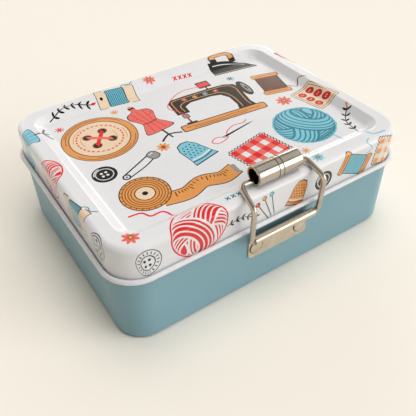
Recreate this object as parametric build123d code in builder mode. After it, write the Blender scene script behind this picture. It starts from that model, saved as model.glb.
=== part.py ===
from build123d import *

import os
from math import asin, atan2, degrees, hypot, radians, tan

# A hinged tinplate box with a wire latch. Millimetres. The origin is the centre of the bottom face,
# +Z is up, +X is to the right and the latch is on the front, towards -Y.

# Body: base and lid are one outline, drawn from the same sheet
tin_length = 200.0  # outside, left to right
tin_width = 152.0  # outside, front to back
tin_height = 71.5  # floor to the lid's border
corner_radius = 18.0  # upright corners, outside
tinplate = 0.4  # sheet thickness
floor_radius = 3.5  # outside rounding between walls and bottom

# Rim: the base's edge steps out into a ledge and is rolled outwards into a hollow bead
lid_depth = 21.5  # the lid's border down to the centre of the bead
bead_radius = 1.4  # outside of the bead
bead_opening = 0.35  # between the rolled end and the rim
ledge_drop = 1.7  # centre of the bead down to the ledge that the lid stands over
lid_side_gap = 0.25  # between skirt and rim
lid_seat_gap = 0.2  # between skirt and ledge

# Lid: rounded edge, flat border, sunk panel with a crisp upper edge and a soft foot to its slope
lid_edge_radius = 3.5
border_width = 10.0  # edge of the lid to the top of the slope
slope_run = 6.2
panel_depth = 4.3
panel_corner = 11.0  # corner radius at the top of the slope
border_fillet = 1.5  # between border and slope
panel_fillet = 5.0  # between slope and panel
hem_height = 4.0  # skirt edge folded flat against the inside
hem_thickness = 0.5

# Latch plate on the front wall; its top edge is rolled into a long knuckle
latch_x = 0.8  # middle of the latch, right of the middle of the tin
plate_width = 43.2
plate_thickness = 0.9
plate_length = 19.0  # knuckle's axis down to the lower edge
plate_corner = 3.0
plate_step_start = 5.4  # knuckle's axis down to where the plate leaves the wall
plate_step_end = 2.2  # knuckle's axis down to where it stands upright again
plate_bend_radius = 1.4
knuckle_drop = 5.7  # centre of the bead down to the knuckle's axis
knuckle_stand_off = 2.8  # between the wall and the knuckle
roll_angle = 290.0  # how far a knuckle is rolled round

# Bail: one bent wire, its ends in the knuckle, its top rod in the roller
wire_diameter = 3.2
wire_clearance = 0.08  # radial, in the knuckle
wire_end_gap = 2.0  # between the two ends inside the knuckle
foot_radius = 2.5  # bend beside the knuckle
foot_gap = 0.1  # between bend and knuckle
leg_clearance = 1.9  # between the bead and the legs
leg_lean = 1.2  # the legs stand further out at the shoulder
knee_rise = 4.2  # knuckle's axis up to the knee
knee_radius = 6.0
shoulder_radius = 5.0  # bend in front of the lid's edge
top_radius = 3.5  # bend beside the roller
edge_clearance = 0.3  # between wire and the lid's rounded edge
bail_taper = 1.8  # each half is this much narrower at the rod than at the legs

# Roller
roller_diameter = 12.0
roller_length = 30.0
roller_shift = 1.2  # roller's middle, right of the latch's; it can slide on the rod
roller_bore = 9.0
roller_setback = 7.6  # roller's axis, back from the front wall
roller_gap = 0.25  # between roller and lid
wire_play = 0.25  # between rod and the bottom of the bore
roller_end_radius = 0.6
groove_spacing = 3.0
groove_width = 0.7
groove_depth = 0.5

# Latch rivets
latch_rivet_spacing = 32.4
latch_rivet_drop = 11.5  # knuckle's axis down to the rivets
latch_head_radius = 4.5
latch_head_rise = 1.5

# Hinges on the back wall
hinge_spacing = 104.0
hinge_width = 26.0
hinge_rise = 1.0  # centre of the bead up to the pin
hinge_clearance = 0.5  # between the bead and the knuckles
leaf_thickness = 0.8
leaf_corner = 2.5
leaf_bend_radius = 1.2
base_leaf_length = 20.5  # pin down to the leaf's end
base_leaf_step_start = 8.7  # pin down to where the leaf leaves the wall
base_leaf_step_end = 3.8  # pin down to where it stands upright again
lid_leaf_length = 13.2  # pin up to the leaf's end
lid_leaf_step_start = 5.2
lid_leaf_step_end = 2.8
pin_radius = 1.0
pin_fixed_clearance = 0.02  # radial, in the base leaf
pin_running_clearance = 0.06  # radial, in the lid leaf
pin_overhang = 0.6
pin_chamfer = 0.25
knuckle_gap = 0.2  # between neighbouring knuckles

# Hinge rivets
hinge_rivet_spacing = 15.0
base_rivet_drop = 14.7  # pin down to the rivets
lid_rivet_rise = 9.3  # pin up to the rivets
hinge_head_radius = 2.4
hinge_head_rise = 0.8

# All rivets
rivet_shank_radius = 1.3
rivet_head_edge = 0.3  # upright edge of a head, below its dome
rivet_clearance = 0.05  # radial, in their holes
rivet_tail_radius = 2.3
rivet_tail_thickness = 0.5

# Sizes that follow from the ones above
front_wall = -tin_width / 2
back_wall = tin_width / 2
bead_height = tin_height - lid_depth
ledge_height = bead_height - ledge_drop
skirt_bottom = ledge_height + lid_seat_gap
bead_middle_reach = lid_side_gap + bead_radius
bead_reach = bead_middle_reach + bead_radius
knuckle_height = bead_height - knuckle_drop
knuckle_bore = wire_diameter / 2 + wire_clearance
knuckle_reach = knuckle_stand_off + plate_thickness + knuckle_bore
leg_reach = bead_reach + leg_clearance + wire_diameter / 2
shoulder_reach = leg_reach + leg_lean
bail_half = plate_width / 2 + foot_gap + foot_radius
roller_height = tin_height + roller_gap + roller_diameter / 2
wire_drop = (roller_bore - wire_diameter) / 2 - wire_play
rod_height = roller_height - wire_drop
hinge_height = bead_height + hinge_rise
lid_bore = pin_radius + pin_running_clearance
hinge_reach = bead_reach + hinge_clearance + leaf_thickness + lid_bore

FRONT = -1
BACK = 1


def wall_section(side, x=0.0):
    """Upright plane across a wall: local x runs out from the wall's face, local y is the height."""
    return Plane(origin=(x, side * tin_width / 2, 0), x_dir=(0, side, 0), z_dir=(side, 0, 0))


def wall_face(side, x=0.0, height=0.0, out=0.0):
    """Plane on a wall, seen from outside: local y is up, and its normal points out."""
    origin = (x, side * (tin_width / 2 + out), height)
    return Plane(origin=origin, x_dir=(-side, 0, 0), z_dir=(0, side, 0))


def rivet_places(side, x, height, spacing):
    """One plane for each of the two rivets of a plate or leaf."""
    return [wall_face(side, x + offset, height) for offset in (-spacing / 2, spacing / 2)]


latch_places = rivet_places(FRONT, latch_x, knuckle_height - latch_rivet_drop, latch_rivet_spacing)
hinge_middles = {"left": -hinge_spacing / 2, "right": hinge_spacing / 2}
hinge_rivet_heights = {"base": hinge_height - base_rivet_drop, "lid": hinge_height + lid_rivet_rise}


def hinge_places(leaf_name):
    """Planes of the rivets of one kind of leaf, on both hinges."""
    places = []
    for x in hinge_middles.values():
        places += rivet_places(BACK, x, hinge_rivet_heights[leaf_name], hinge_rivet_spacing)
    return places


def finish(part, name):
    """Names a finished piece and writes it."""
    part.label = name
    export_step(part, f"parts/{name}.step")


os.makedirs("parts", exist_ok=True)

# Rim: ledge, riser and rolled bead, swept along the right half of the outline and mirrored
side_straight = tin_width / 2 - corner_radius
end_straight = tin_length / 2 - corner_radius
with BuildPart() as rim:
    with BuildLine() as half_outline:
        Line((0, front_wall), (end_straight, front_wall))
        CenterArc((end_straight, -side_straight), corner_radius, -90, 90)
        Line((tin_length / 2, -side_straight), (tin_length / 2, side_straight))
        CenterArc((end_straight, side_straight), corner_radius, 0, 90)
        Line((end_straight, back_wall), (0, back_wall))
    with BuildSketch(wall_section(FRONT)) as rim_section:
        with BuildLine():
            Polyline(
                (-tinplate, ledge_height - tinplate),
                (lid_side_gap, ledge_height - tinplate),
                (lid_side_gap, ledge_height),
                (-tinplate, ledge_height),
                close=True,
            )
        make_face()
        with Locations((bead_middle_reach, bead_height)):
            Circle(bead_radius)
            Circle(bead_radius - tinplate, mode=Mode.SUBTRACT)
        with Locations((lid_side_gap, bead_height)):
            roll_cut = tinplate + bead_opening
            Rectangle(roll_cut, bead_radius, align=(Align.MIN, Align.MAX), mode=Mode.SUBTRACT)
            riser = bead_height - ledge_height + tinplate
            Rectangle(tinplate, riser, align=(Align.MIN, Align.MAX))
    sweep(sections=rim_section.sketch, path=half_outline.wire())
    mirror(about=Plane.YZ)

# Base: a drawn tub with the rim on its edge
with BuildPart() as base_shell:
    with BuildSketch():
        RectangleRounded(tin_length, tin_width, corner_radius)
    extrude(amount=ledge_height)
    fillet(base_shell.faces().sort_by(Axis.Z)[0].edges(), radius=floor_radius)
    offset(amount=-tinplate, openings=base_shell.faces().sort_by(Axis.Z)[-1])
    add(rim.part)
    for place in latch_places + hinge_places("base"):
        with BuildSketch(place):
            Circle(rivet_shank_radius + rivet_clearance)
        extrude(amount=-2 * tinplate, mode=Mode.SUBTRACT)
finish(base_shell.part, "base_shell")

# Lid: rounded cap with a sunk panel, hollowed to the sheet, its skirt edge folded in
with BuildPart() as lid_shell:
    with BuildSketch(Plane.XY.offset(skirt_bottom)):
        RectangleRounded(tin_length, tin_width, corner_radius)
    extrude(amount=tin_height - skirt_bottom)
    fillet(lid_shell.faces().sort_by(Axis.Z)[-1].edges(), radius=lid_edge_radius)
    with BuildSketch(Plane.XY.offset(tin_height)):
        RectangleRounded(tin_length - 2 * border_width, tin_width - 2 * border_width, panel_corner)
    extrude(amount=-panel_depth, taper=degrees(atan2(slope_run, panel_depth)), mode=Mode.SUBTRACT)
    border = lid_shell.faces().filter_by(Plane.XY).sort_by(Axis.Z)[-1]
    fillet(border.inner_wires()[0].edges(), radius=border_fillet)
    panel = lid_shell.faces().filter_by(Plane.XY).sort_by(Axis.Z)[-2]
    fillet(panel.edges(), radius=panel_fillet)
    offset(amount=-tinplate, openings=lid_shell.faces().sort_by(Axis.Z)[0])
    with BuildSketch(Plane.XY.offset(skirt_bottom)):
        inside = 2 * tinplate
        fold = inside + 2 * hem_thickness
        RectangleRounded(tin_length - inside, tin_width - inside, corner_radius - inside / 2)
        RectangleRounded(tin_length - fold, tin_width - fold, corner_radius - fold / 2, mode=Mode.SUBTRACT)
    extrude(amount=hem_height)
    for place in hinge_places("lid"):
        with BuildSketch(place):
            Circle(rivet_shank_radius + rivet_clearance)
        extrude(amount=-2 * tinplate, mode=Mode.SUBTRACT)
finish(lid_shell.part, "lid_shell")


def rolled_profile(axis_reach, axis_height, bore, thickness, bend_radius, steps, upward):
    """Centre line of a sheet that lies on a wall, steps out and is rolled round an axis.

    steps are the distances, along the wall from the axis, of the sheet's end and of the two
    bends of its step.
    """
    end, step_start, step_end = [axis_height - upward * distance for distance in steps]
    rolled = bore + thickness / 2
    stand = axis_reach - rolled
    with BuildLine() as line:
        FilletPolyline(
            (thickness / 2, end),
            (thickness / 2, step_start),
            (stand, step_end),
            (stand, axis_height),
            radius=bend_radius,
        )
        CenterArc((axis_reach, axis_height), rolled, 180, -upward * roll_angle)
    return line.line


# Latch plate: rolled along its top edge, with rounded lower corners
with BuildPart() as latch_plate:
    with BuildSketch(wall_section(FRONT, latch_x)):
        steps = (plate_length, plate_step_start, plate_step_end)
        profile = rolled_profile(
            knuckle_reach, knuckle_height, knuckle_bore, plate_thickness, plate_bend_radius, steps, 1
        )
        trace(profile, line_width=plate_thickness)
    extrude(amount=plate_width / 2, both=True)
    lower_corners = latch_plate.edges().filter_by(Axis.Y).group_by(Axis.Z)[0]
    fillet(lower_corners, radius=plate_corner)
    for place in latch_places:
        with BuildSketch(place):
            Circle(rivet_shank_radius + rivet_clearance)
        extrude(amount=plate_thickness, mode=Mode.SUBTRACT)
finish(latch_plate.part, "latch_plate")

# Bail: its top run passes just above the lid's rounded edge
edge_middle_out = -lid_edge_radius
edge_middle_up = tin_height - lid_edge_radius
across = edge_middle_out + roller_setback
down = edge_middle_up - rod_height
keep_off = lid_edge_radius + wire_diameter / 2 + edge_clearance
run_angle = atan2(down, across) + asin(keep_off / hypot(across, down))
shoulder_height = rod_height + tan(run_angle) * (shoulder_reach + roller_setback)


def bail_corners(side):
    """Corners of one half of the bail, from the knuckle to the top rod."""
    x = latch_x + side * bail_half
    rod_x = x - side * bail_taper
    return [
        (latch_x + side * wire_end_gap / 2, front_wall - knuckle_reach, knuckle_height),
        (x, front_wall - knuckle_reach, knuckle_height),
        (x, front_wall - leg_reach, knuckle_height + knee_rise),
        (x, front_wall - shoulder_reach, shoulder_height),
        (rod_x, front_wall + roller_setback, rod_height),
    ]


bends = [foot_radius, knee_radius, shoulder_radius, top_radius]
with BuildPart() as latch_bail:
    with BuildLine() as bail_path:
        FilletPolyline(bail_corners(-1) + bail_corners(1)[::-1], radius=bends + bends[::-1])
    with BuildSketch(Plane(origin=bail_path.line @ 0, z_dir=bail_path.line % 0)):
        Circle(wire_diameter / 2)
    sweep(path=bail_path.line)
finish(latch_bail.part, "latch_bail")

# Roller: a tube with rounded ends and two grooves round its middle
roller_middle = (latch_x + roller_shift, front_wall + roller_setback, roller_height)
roller_plane = Plane(origin=roller_middle, z_dir=(1, 0, 0))
with BuildPart() as latch_roller:
    with BuildSketch(roller_plane):
        Circle(roller_diameter / 2)
    extrude(amount=roller_length / 2, both=True)
    fillet(latch_roller.edges().filter_by(GeomType.CIRCLE), radius=roller_end_radius)
    with BuildSketch(roller_plane):
        Circle(roller_bore / 2)
    extrude(amount=roller_length / 2, both=True, mode=Mode.SUBTRACT)
    for offset_x in (-groove_spacing / 2, groove_spacing / 2):
        with BuildSketch(roller_plane.offset(offset_x)):
            Circle(roller_diameter / 2)
            Circle(roller_diameter / 2 - groove_depth, mode=Mode.SUBTRACT)
        extrude(amount=groove_width / 2, both=True, mode=Mode.SUBTRACT)
finish(latch_roller.part, "latch_roller")


def hinge_leaf(x, leaf_name, bore, steps):
    """One leaf of a hinge: the lid's has the middle knuckle, the base's the two outer ones."""
    on_lid = leaf_name == "lid"
    knuckle_width = hinge_width / 3
    cut_middles = (-knuckle_width, knuckle_width) if on_lid else (0,)
    with BuildPart() as leaf:
        with BuildSketch(wall_section(BACK, x)):
            upward = -1 if on_lid else 1
            profile = rolled_profile(
                hinge_reach, hinge_height, bore, leaf_thickness, leaf_bend_radius, steps, upward
            )
            trace(profile, line_width=leaf_thickness)
        extrude(amount=hinge_width / 2, both=True)
        end_edges = leaf.edges().filter_by(Axis.Y).group_by(Axis.Z)[-1 if on_lid else 0]
        fillet(end_edges, radius=leaf_corner)
        with BuildSketch(wall_face(BACK, x, hinge_height)):
            for middle in cut_middles:
                with Locations((middle, 0)):
                    Rectangle(knuckle_width + knuckle_gap, 2 * steps[1])
        extrude(amount=2 * hinge_reach, mode=Mode.SUBTRACT)
        for place in rivet_places(BACK, x, hinge_rivet_heights[leaf_name], hinge_rivet_spacing):
            with BuildSketch(place):
                Circle(rivet_shank_radius + rivet_clearance)
            extrude(amount=leaf_thickness, mode=Mode.SUBTRACT)
    return leaf.part


leaf_bores = {"base": pin_radius + pin_fixed_clearance, "lid": lid_bore}
leaf_steps = {
    "base": (base_leaf_length, base_leaf_step_start, base_leaf_step_end),
    "lid": (lid_leaf_length, lid_leaf_step_start, lid_leaf_step_end),
}
for hand, middle_x in hinge_middles.items():
    for leaf_name, steps in leaf_steps.items():
        leaf_part = hinge_leaf(middle_x, leaf_name, leaf_bores[leaf_name], steps)
        finish(leaf_part, f"hinge_{hand}_{leaf_name}_leaf")
    pin_middle = (middle_x, back_wall + hinge_reach, hinge_height)
    with BuildPart() as hinge_pin:
        with BuildSketch(Plane(origin=pin_middle, z_dir=(1, 0, 0))):
            Circle(pin_radius)
        extrude(amount=hinge_width / 2 + pin_overhang, both=True)
        chamfer(hinge_pin.edges().filter_by(GeomType.CIRCLE), length=pin_chamfer)
    finish(hinge_pin.part, f"hinge_{hand}_pin")


def rivet(place, plate, head_radius, head_rise):
    """A rivet through a plate and the sheet behind it: domed head outside, flat tail inside."""
    out = place.z_dir
    across_out = Plane(origin=place.origin, x_dir=(1, 0, 0), z_dir=Vector(1, 0, 0).cross(out))
    head_edge = plate + rivet_head_edge
    with BuildPart() as made:
        with BuildSketch(across_out):
            with BuildLine():
                Polyline(
                    (0, plate + head_rise),
                    (0, -tinplate - rivet_tail_thickness),
                    (rivet_tail_radius, -tinplate - rivet_tail_thickness),
                    (rivet_tail_radius, -tinplate),
                    (rivet_shank_radius, -tinplate),
                    (rivet_shank_radius, plate),
                    (head_radius, plate),
                    (head_radius, head_edge),
                )
                TangentArc((0, plate + head_rise), (head_radius, head_edge), tangent=(1, 0))
            make_face()
        revolve(axis=Axis(place.origin, out))
    return made.part


for name, place in zip(("left", "right"), latch_places):
    finish(rivet(place, plate_thickness, latch_head_radius, latch_head_rise), f"latch_rivet_{name}")
for hand, middle_x in hinge_middles.items():
    for leaf_name, height in hinge_rivet_heights.items():
        places = rivet_places(BACK, middle_x, height, hinge_rivet_spacing)
        for side_name, place in zip(("left", "right"), places):
            made = rivet(place, leaf_thickness, hinge_head_radius, hinge_head_rise)
            finish(made, f"hinge_{hand}_{leaf_name}_rivet_{side_name}")
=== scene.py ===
"""The sewing tin's finishes, its printed lid, and the studio round it."""

import math

import bpy
import numpy as np
from mathutils import Matrix, Vector
from mathutils.geometry import delaunay_2d_cdt


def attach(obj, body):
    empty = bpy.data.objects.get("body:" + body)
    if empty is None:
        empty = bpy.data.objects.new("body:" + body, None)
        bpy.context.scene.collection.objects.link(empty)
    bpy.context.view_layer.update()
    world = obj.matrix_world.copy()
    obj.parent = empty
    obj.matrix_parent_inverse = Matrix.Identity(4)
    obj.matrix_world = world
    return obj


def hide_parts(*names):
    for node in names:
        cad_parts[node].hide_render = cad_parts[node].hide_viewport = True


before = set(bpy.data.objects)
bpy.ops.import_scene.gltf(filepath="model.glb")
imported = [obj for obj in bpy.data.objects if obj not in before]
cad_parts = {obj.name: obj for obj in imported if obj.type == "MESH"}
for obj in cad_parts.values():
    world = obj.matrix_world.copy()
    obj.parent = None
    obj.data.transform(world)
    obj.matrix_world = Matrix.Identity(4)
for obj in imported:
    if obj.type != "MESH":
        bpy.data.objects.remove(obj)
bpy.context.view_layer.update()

MM = 0.001

# Sizes in millimetres, as the solids have them
HALF_LENGTH = 100.0
HALF_WIDTH = 76.0
TIN_HEIGHT = 71.5
CORNER_RADIUS = 18.0
SHEET = 0.4
SKIRT_BOTTOM = 48.5
EDGE_RADIUS = 3.5
BORDER = 10.0  # skirt to the top of the panel's slope
SLOPE_RUN = 6.2
PANEL_DEPTH = 4.3
PANEL_CORNER = 11.0
BORDER_FILLET = 1.5
PANEL_FILLET = 5.0
HEM_HEIGHT = 4.0
HEM_INSET = SHEET + 0.5
LEDGE_HEIGHT = 48.3  # of the base, under the lid's skirt: white starts at the middle of its sheet

# Rivets, placing the painted shade round their heads: middle of a pair along X, half the pair's spacing,
# height, and the heads' radius
LATCH_RIVETS = (0.8, 16.2, 32.8, 4.5)
HINGE_RIVETS = (52.0, 7.5, 48.3, 2.4)  # here the height is half way between the rivets of the two leaves
HINGE_RIVET_RISE = 12.0  # and this is how far above and below it they are

TINY = 1e-9  # keeps a length of nothing out of a division

# ---------------------------------------------------------------- shader maths

NOISE_RANGE = (0.3, 0.7)  # where nearly all of a noise's values lie


class Signal:
    """A node's output in a material or world, so that shader maths reads as plain expressions."""

    def __init__(self, tree, socket):
        self.tree = tree
        self.socket = socket

    def node(self, kind, settings, inputs, output=0):
        """Adds a node: its settings, then what goes into its sockets, and hands back one output."""
        made = self.tree.nodes.new(kind)
        for name, value in settings.items():
            setattr(made, name, value)
        for key, value in inputs.items():
            feed(self.tree, made.inputs[key], value)
        return Signal(self.tree, made.outputs[output])

    def math(self, operation, *others):
        return self.node("ShaderNodeMath", {"operation": operation}, dict(enumerate((self, *others))))

    def __add__(self, other):
        return self.math("ADD", other)

    def __sub__(self, other):
        return self.math("SUBTRACT", other)

    def __rsub__(self, other):
        return self * -1 + other

    def __mul__(self, other):
        return self.math("MULTIPLY", other)

    def __truediv__(self, other):
        return self.math("DIVIDE", other)

    def __gt__(self, other):
        return self.math("GREATER_THAN", other)

    def __lt__(self, other):
        return self.math("LESS_THAN", other)

    __radd__ = __add__
    __rmul__ = __mul__

    def part(self, name):
        """One of the three numbers of a vector."""
        return self.node("ShaderNodeSeparateXYZ", {}, {0: self}, name)

    def ramp(self, low, high, out_low=0.0, out_high=1.0):
        """Smooth change from out_low to out_high as the signal goes from low to high."""
        ends = {0: self, 1: low, 2: high, 3: out_low, 4: out_high}
        return self.node("ShaderNodeMapRange", {"interpolation_type": "SMOOTHSTEP"}, ends)

    def mix(self, first, second):
        """Colour that goes from first to second as the signal goes from 0 to 1."""
        return self.node("ShaderNodeMix", {"data_type": "RGBA"}, {0: self, 6: first, 7: second}, 2)

    def shade(self, colour):
        """A colour made darker or lighter by the signal."""
        return self.node("ShaderNodeVectorMath", {"operation": "SCALE"}, {0: colour, "Scale": self})

    def noise(self, grain, detail=2.0, stretch=(1, 1, 1)):
        """Cloudy pattern on a position, with spots about grain millimetres wide."""
        place = self.node("ShaderNodeMapping", {}, {0: self, 3: stretch})
        sockets = {"Vector": place, "Scale": 1 / (grain * MM), "Detail": detail}
        return self.node("ShaderNodeTexNoise", {}, sockets)

    def clouds(self, grain, low, high):
        """A value that drifts between low and high over the surface."""
        return self.noise(grain).ramp(*NOISE_RANGE, low, high)

    def bump(self, depth):
        """Normal of a surface with this height pattern, depth millimetres deep."""
        sockets = {"Strength": 1.0, "Distance": depth * MM, "Height": self}
        return self.node("ShaderNodeBump", {}, sockets, "Normal")


def feed(tree, socket, value):
    """Links a signal into a socket, or writes a plain value on it."""
    if isinstance(value, Signal):
        tree.links.new(value.socket, socket)
    else:
        socket.default_value = value


def linear(code):
    """The colour of a hex code, in linear light."""
    parts = [int(code[i : i + 2], 16) / 255 for i in (0, 2, 4)]
    return (*[c / 12.92 if c <= 0.04045 else ((c + 0.055) / 1.055) ** 2.4 for c in parts], 1.0)


class Finish:
    """A new material with its place signal; wear() sets the surface's sockets."""

    def __init__(self, name):
        self.material = bpy.data.materials.new(name)
        self.material.use_nodes = True
        self.tree = self.material.node_tree
        self.surface = self.tree.nodes["Principled BSDF"]
        coordinates = self.tree.nodes.new("ShaderNodeTexCoord")
        self.place = Signal(self.tree, coordinates.outputs["Object"])

    def wear(self, **sockets):
        """Sets the surface's sockets by their names, with underscores for spaces."""
        for name, value in sockets.items():
            title = name.replace("_", " ").title().replace("Ior", "IOR")
            feed(self.tree, self.surface.inputs[title], value)
        return self.material


# ---------------------------------------------------------------- finishes

WHITE = linear("e5e6e9")
BLUE = linear("7fa8b5")
ORANGE_PEEL = 0.002  # depth in millimetres of the fine unevenness of both enamels


def blue_enamel():
    """Satin blue outside, white on the rim and inside."""
    finish = Finish("base_enamel")
    place = finish.place
    x, y, z = [place.part(axis) for axis in "XYZ"]
    normal = place.node("ShaderNodeNewGeometry", {}, {}, "True Normal")
    # The outside faces away from the tin's middle, or down, which counts half
    sideways = (normal.part("X") * x + normal.part("Y") * y) / (HALF_WIDTH * MM)
    outside = (sideways - normal.part("Z") * 0.5) > 0
    blue = (z < (LEDGE_HEIGHT - SHEET / 2) * MM) * outside
    white_gloss = blue.ramp(0, 1, 0.12, 0.0)  # the white is this much smoother than the blue
    return finish.wear(
        base_color=place.clouds(26.0, 0.985, 1.015).shade(blue.mix(WHITE, BLUE)),
        roughness=place.clouds(9.0, 0.36, 0.44) - white_gloss,
        normal=place.noise(1.4, 1.0).bump(ORANGE_PEEL),
        specular_ior_level=0.35,
        coat_weight=0.06,
        coat_roughness=0.2,
    )


def printed_enamel():
    """Gloss white with the print, which the mesh carries as an attribute."""
    finish = Finish("lid_print")
    place = finish.place
    ink = place.node("ShaderNodeAttribute", {"attribute_name": "ink"}, {}, "Color")
    return finish.wear(
        base_color=place.clouds(20.0, 0.985, 1.01).shade(ink),
        roughness=place.clouds(12.0, 0.2, 0.27),
        normal=place.noise(1.2, 1.0).bump(ORANGE_PEEL),
        specular_ior_level=0.2,
        coat_weight=0.65,
        coat_roughness=0.06,
    )


def folded(coordinate, middle, half):
    """How far a coordinate is past a pair of places, which lie half to either side of their middle."""
    return (coordinate - middle * MM).math("ABSOLUTE") - half * MM


# Painted shade in the crevice round each rivet's head: how dark it gets at its darkest
CREVICE_SHADE = 0.3
CREVICE_SHADE_CORE = 1 / 45  # how far from a head's edge the painted shade is full, as a share of the head's radius
CREVICE_SHADE_END = 1 / 6.4  # and how far from it the painted shade ends


def head_painted_shade(across, upwards, radius):
    """Painted shade in the crevice round a rivet's head: dark on the head's edge, 1 away from it."""
    reach = (across * across + upwards * upwards).math("SQRT")
    off_edge = (reach - radius * MM).math("ABSOLUTE")
    return off_edge.ramp(radius * MM * CREVICE_SHADE_CORE, radius * MM * CREVICE_SHADE_END, CREVICE_SHADE, 1.0)


def latch_painted_shade(place):
    """Painted shade in the crevices round the heads of the latch plate's two rivets."""
    middle, half, height, radius = LATCH_RIVETS
    return head_painted_shade(folded(place.part("X"), middle, half), place.part("Z") - height * MM, radius)


def hinge_painted_shade(place):
    """Painted shade in the crevices round the rivet heads of both hinges, four to a hinge."""
    middle, half, height, radius = HINGE_RIVETS
    across = folded(place.part("X").math("ABSOLUTE"), middle, half)
    return head_painted_shade(across, folded(place.part("Z"), height, HINGE_RIVET_RISE), radius)


# Nickel plate: light and dark tone, roughness, how much rougher the marks are, and their depth in millimetres
BRIGHT = ("bfb7ac", "b9b0a4", 0.12, 0.04, 0.002)
SATIN = ("d2c5b4", "cabcaa", 0.22, 0.06, 0.003)


def nickel(name, look, painted_shade=None):
    """Plated steel: slightly cloudy, with soft drawn marks along its length, and painted shade round its
    rivets' heads.
    """
    light, dark, roughness, spread, depth = look
    finish = Finish(name)
    place = finish.place
    marks = place.noise(2.4, 2.0, (0.3, 1, 1))
    colour = place.noise(6.0).ramp(0.35, 0.65).mix(linear(dark), linear(light))
    return finish.wear(
        # where rivets are given, their painted shade darkens the colour round the heads
        base_color=painted_shade(place).shade(colour) if painted_shade else colour,
        metallic=1.0,
        roughness=marks.ramp(*NOISE_RANGE, roughness, roughness + spread),
        normal=marks.bump(depth),
    )


# ---------------------------------------------------------------- form of the lid

SLOPE_ANGLE = math.atan2(PANEL_DEPTH, SLOPE_RUN)
TOP_REACH = BORDER_FILLET * math.tan(SLOPE_ANGLE / 2)  # how far a fillet reaches past the slope's end
FOOT_REACH = PANEL_FILLET * math.tan(SLOPE_ANGLE / 2)
TOP_INTO = TOP_REACH * math.cos(SLOPE_ANGLE)  # and how far it reaches into the slope
FOOT_INTO = FOOT_REACH * math.cos(SLOPE_ANGLE)
EDGE_ARC = EDGE_RADIUS * math.pi / 2
SKIRT_DROP = TIN_HEIGHT - SKIRT_BOTTOM
SHEET_REACH = EDGE_ARC + SKIRT_DROP - EDGE_RADIUS  # from the flat border's edge to the skirt's

# Rounded rectangles on the flat sheet: half length, half width and corner radius
BORDER_EDGE = (HALF_LENGTH - EDGE_RADIUS, HALF_WIDTH - EDGE_RADIUS, CORNER_RADIUS - EDGE_RADIUS)
PANEL_EDGE = (HALF_LENGTH - BORDER, HALF_WIDTH - BORDER, PANEL_CORNER)

# How fine the sheet's form lines are
LINE_STEP = 9.0  # millimetres along a line
CORNER_STEP = 4.5  # degrees round a corner
EDGE_STEPS = 10
BORDER_STEPS = 6
PANEL_STEPS = 8
INSIDE_EDGE_STEPS = 5
RIM_TOLERANCE = 0.01
MERGE = 1e-4  # points of the sheet that are closer than this become one
SKIRT_LINE = 8.0  # below the rounded edge, half way down the skirt


def from_outline(points, half_x, half_y, radius):
    """Distance of points outside a rounded rectangle, and the direction straight out of it."""
    side = np.sign(points) + (points == 0)
    q = np.abs(points) - (half_x - radius, half_y - radius)
    corner = (q > 0).all(axis=1)
    reach = np.hypot(q[:, 0], q[:, 1])
    distance = np.where(corner, reach, q.max(axis=1)) - radius
    along_x = q[:, 0] > q[:, 1]
    straight = np.stack([along_x, ~along_x], axis=1).astype(float)
    direction = np.where(corner[:, None], q / np.maximum(reach, TINY)[:, None], straight) * side
    return distance, direction


def panel_slope(inward):
    """Depth of the sunk panel and its slope, at a distance inwards from the top of the slope."""
    upper = np.clip((inward + TOP_REACH) / BORDER_FILLET, 0, math.sin(SLOPE_ANGLE))
    lower = np.clip((SLOPE_RUN + FOOT_REACH - inward) / PANEL_FILLET, 0, math.sin(SLOPE_ANGLE))
    top = BORDER_FILLET * (1 - np.sqrt(1 - upper**2))
    foot = PANEL_DEPTH - PANEL_FILLET * (1 - np.sqrt(1 - lower**2))
    slope = inward * math.tan(SLOPE_ANGLE)
    depth = np.where(inward < TOP_INTO, top, np.where(inward < SLOPE_RUN - FOOT_INTO, slope, foot))
    lean = np.where(inward < SLOPE_RUN / 2, upper, lower)
    return depth, lean / np.sqrt(1 - lean**2)


def form_sheet(flat, inset=0.0):
    """Presses points of the flat sheet into the lid's shape: their places and their normals.

    inset moves the surface inwards, for the inside of the sheet.
    """
    out, way = from_outline(flat, *BORDER_EDGE)
    into, panel_way = from_outline(flat, *PANEL_EDGE)
    depth, slope = panel_slope(-into)
    edge = np.clip(out, 0, None)
    turn = np.clip(edge / EDGE_RADIUS, 0, math.pi / 2)
    fall = np.clip(edge - EDGE_ARC, 0, None)
    plan = flat - way * edge[:, None] + way * (EDGE_RADIUS * np.sin(turn))[:, None]
    height = TIN_HEIGHT - EDGE_RADIUS * (1 - np.cos(turn)) - fall - depth
    steep = np.column_stack([-panel_way * slope[:, None], np.ones(len(flat))])
    steep /= np.linalg.norm(steep, axis=1)[:, None]
    bent = np.column_stack([way * np.sin(turn)[:, None], np.cos(turn)])
    normals = np.where((out > 0)[:, None], bent, steep)
    return np.column_stack([plan, height]) - normals * inset, normals


def outline_loop(half_x, half_y, radius, step=LINE_STEP, turn=CORNER_STEP):
    """Points round a rounded rectangle, anticlockwise: step apart, and every turn degrees in the corners."""
    loop = []
    for sx, sy, start in ((1, 1, 0), (-1, 1, 90), (-1, -1, 180), (1, -1, 270)):
        middle = np.array([sx * (half_x - radius), sy * (half_y - radius)])
        for angle in np.radians(np.arange(start, start + 90 + turn / 2, turn)):
            loop.append(middle + radius * np.array([math.cos(angle), math.sin(angle)]))
    dense = []
    for a, b in zip(loop, loop[1:] + loop[:1]):
        parts = max(1, round(float(np.linalg.norm(b - a)) / step))
        dense += [a + (b - a) * k / parts for k in range(parts)]
    return np.array(dense)


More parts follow.
